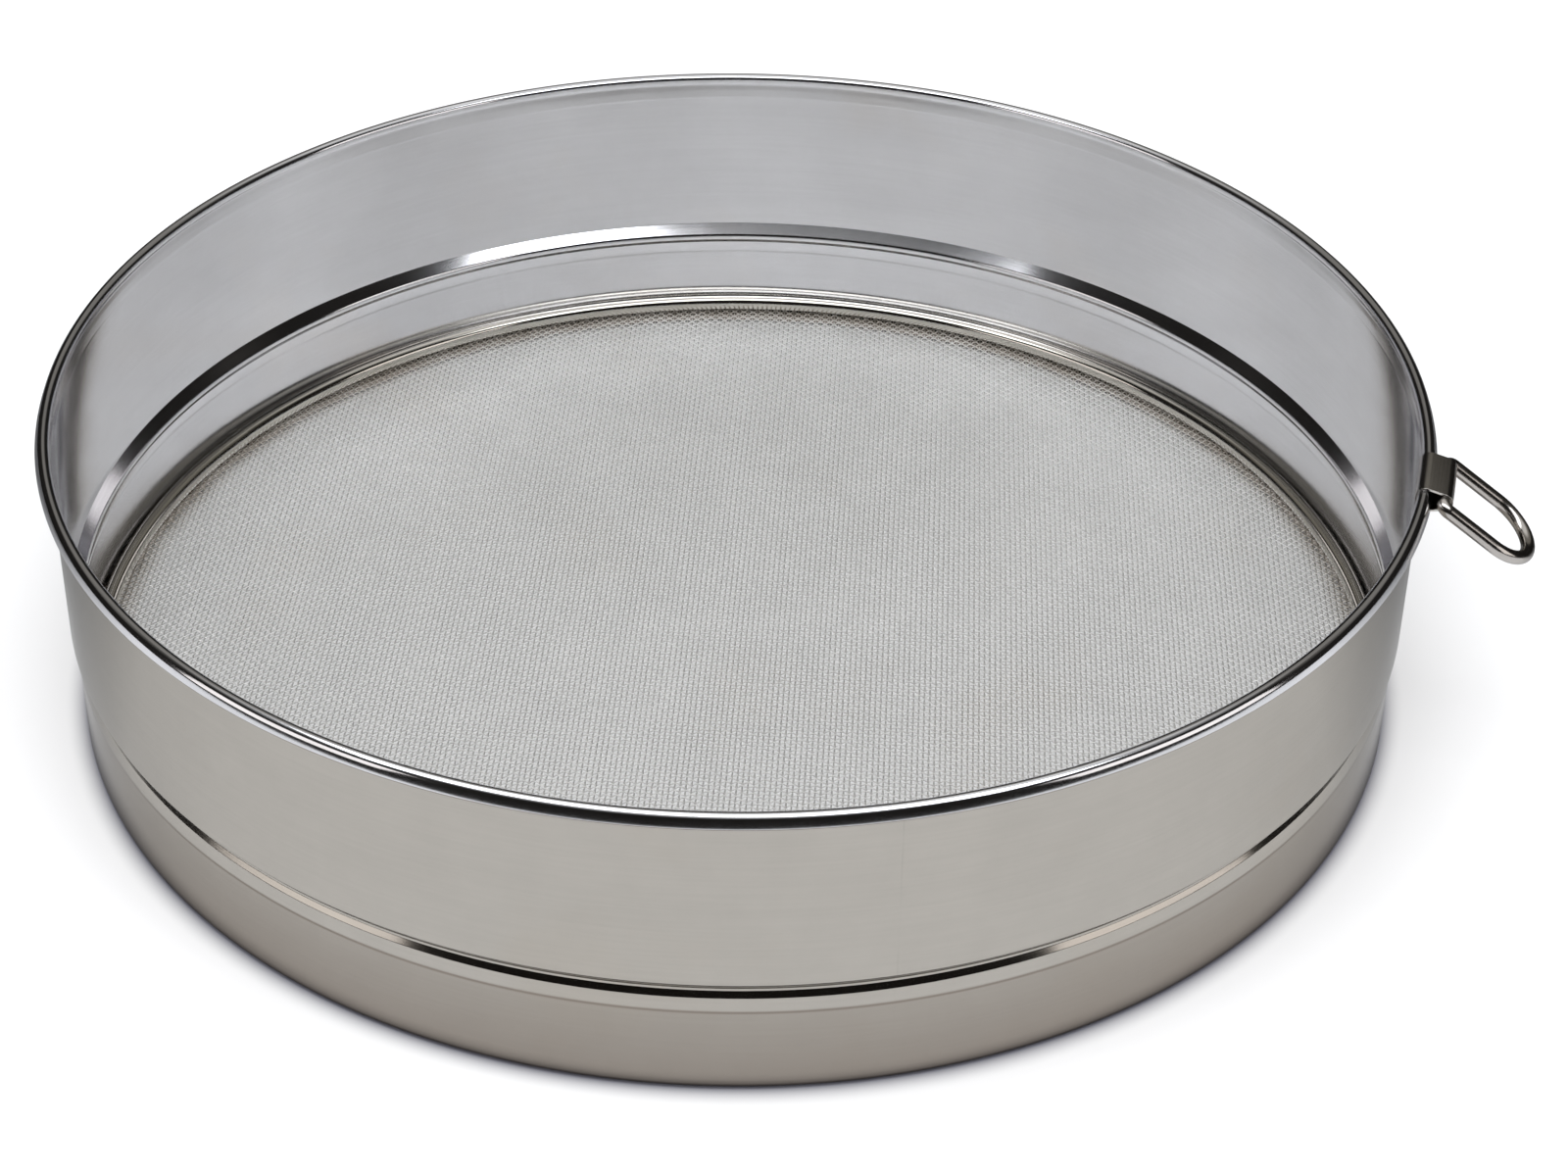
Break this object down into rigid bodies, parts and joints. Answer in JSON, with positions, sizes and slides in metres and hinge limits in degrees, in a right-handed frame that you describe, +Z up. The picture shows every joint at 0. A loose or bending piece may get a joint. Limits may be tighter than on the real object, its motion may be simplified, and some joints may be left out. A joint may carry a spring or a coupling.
{
  "type": "soil sieve",
  "caption": "Round stainless steel soil sieve: rolled hoop with a wired rim, stacking groove and smaller skirt, woven wire screen under a split ring, and a hinged hanging loop.",
  "frame": {"origin": "on the hoop's axis, in the plane the sieve stands on", "axes": "+Z up the hoop's axis, out of the open mouth; +X towards the hanging loop; +Y completes a right-handed set"},
  "size_m": [0.3223, 0.3, 0.0706],
  "materials": {
    "polished_steel": "polished sheet with fine handling marks",
    "core_wire": "drawn wire, inside the curl",
    "cloth_warp": "drawn stainless wire, woven",
    "cloth_weft": "drawn stainless wire, woven",
    "ring_steel": "polished rolled tube",
    "clip_steel": "bright folded strip with sheared edges",
    "loop_steel": "polished drawn wire"
  },
  "bodies": {
    "sieve": {"hoop": "polished_steel", "rim_wire": "core_wire", "screen_warp_wires": "cloth_warp", "screen_weft_wires": "cloth_weft", "screen_ring": "ring_steel", "hanger_clip": "clip_steel"},
    "loop": {"hanging_loop": "loop_steel"}
  },
  "joints": [
    {"name": "loop_hinge", "type": "hinge", "parent": "sieve", "child": "loop", "pos_m": [0.152, 0, 0.06765], "axis": [0, -1, 0], "range_deg": [-60, 140]}
  ]
}
